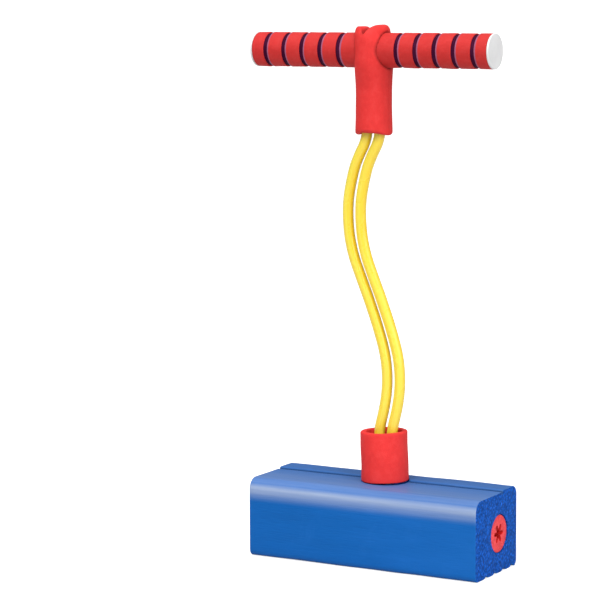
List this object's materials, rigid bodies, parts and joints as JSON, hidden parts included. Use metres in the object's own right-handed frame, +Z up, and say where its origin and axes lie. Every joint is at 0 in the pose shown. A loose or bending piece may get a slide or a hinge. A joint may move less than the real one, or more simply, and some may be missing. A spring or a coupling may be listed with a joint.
{
  "type": "pogo stick",
  "caption": "Foam pogo jumper for a child: a foam block to stand on, a foam collar, elastic cords and a padded T-shaped handle that stretches up, leans and twists.",
  "frame": {"origin": "on the block's underside, straight below the middle of the pair of cords where they come out of the block", "axes": "+Z up, +X along the block and the handle bar to the right as seen from the front, +Y to the back"},
  "size_m": [0.279, 0.097, 0.55],
  "materials": {
    "blue_foam": "closed-cell foam with a smooth skin and cut, speckled ends",
    "red_foam": "soft matt closed-cell foam",
    "pink_foam": "matt extruded foam",
    "dark_blue_foam": "matt closed-cell foam",
    "yellow_latex": "smooth, glossy, slightly see-through latex",
    "white_plastic": "satin moulded plastic",
    "grey_plastic": "satin extruded pipe"
  },
  "bodies": {
    "base": {"foam_block": "blue_foam", "core_tube": "grey_plastic", "left_end_plug": "pink_foam", "right_end_plug": "pink_foam", "left_lower_stopper": "white_plastic", "right_lower_stopper": "white_plastic"},
    "collar": {"foam_collar": "red_foam"},
    "cord_lower": {"left_cord": "yellow_latex"},
    "cord_upper": {"right_cord": "yellow_latex"},
    "sleeve": {"handle_sleeve": "red_foam"},
    "bar": {"handle_pipe": "grey_plastic", "left_grip_liner": "dark_blue_foam", "right_grip_liner": "dark_blue_foam", "left_grip_band_1": "red_foam", "left_grip_band_2": "red_foam", "left_grip_band_3": "red_foam", "left_grip_band_4": "red_foam", "left_grip_band_5": "red_foam", "left_grip_band_6": "red_foam", "right_grip_band_1": "red_foam", "right_grip_band_2": "red_foam", "right_grip_band_3": "red_foam", "right_grip_band_4": "red_foam", "right_grip_band_5": "red_foam", "right_grip_band_6": "red_foam", "left_end_cap": "white_plastic", "right_end_cap": "white_plastic", "left_upper_stopper": "white_plastic", "right_upper_stopper": "white_plastic"}
  },
  "joints": [
    {"name": "handle_twist", "type": "hinge", "parent": "base", "child": "collar", "pos_m": [0, 0, 0.11], "axis": [0, 0, 1], "range_deg": [-90, 90], "stiffness_Nm_per_rad": 0.5},
    {"name": "handle_lean", "type": "hinge", "parent": "collar", "child": "cord_lower", "pos_m": [0, 0, 0.17], "axis": [1, 0, 0], "range_deg": [-35, 35], "stiffness_Nm_per_rad": 6, "deforming": ["left_cord"]},
    {"name": "cord_stretch", "type": "slide", "parent": "cord_lower", "child": "cord_upper", "axis": [0, 0, 1], "range_m": [-0.03, 0.3], "stiffness_N_per_m": 350, "deforming": ["right_cord"]},
    {"name": "handle_tilt", "type": "hinge", "parent": "cord_upper", "child": "sleeve", "pos_m": [-0.0205, 0, 0.42], "axis": [0, 1, 0], "range_deg": [-25, 25], "stiffness_Nm_per_rad": 4},
    {"name": "bar_roll", "type": "hinge", "parent": "sleeve", "child": "bar", "pos_m": [-0.013, 0, 0.524], "axis": [1, 0, 0], "range_deg": [-20, 20], "stiffness_Nm_per_rad": 1}
  ]
}
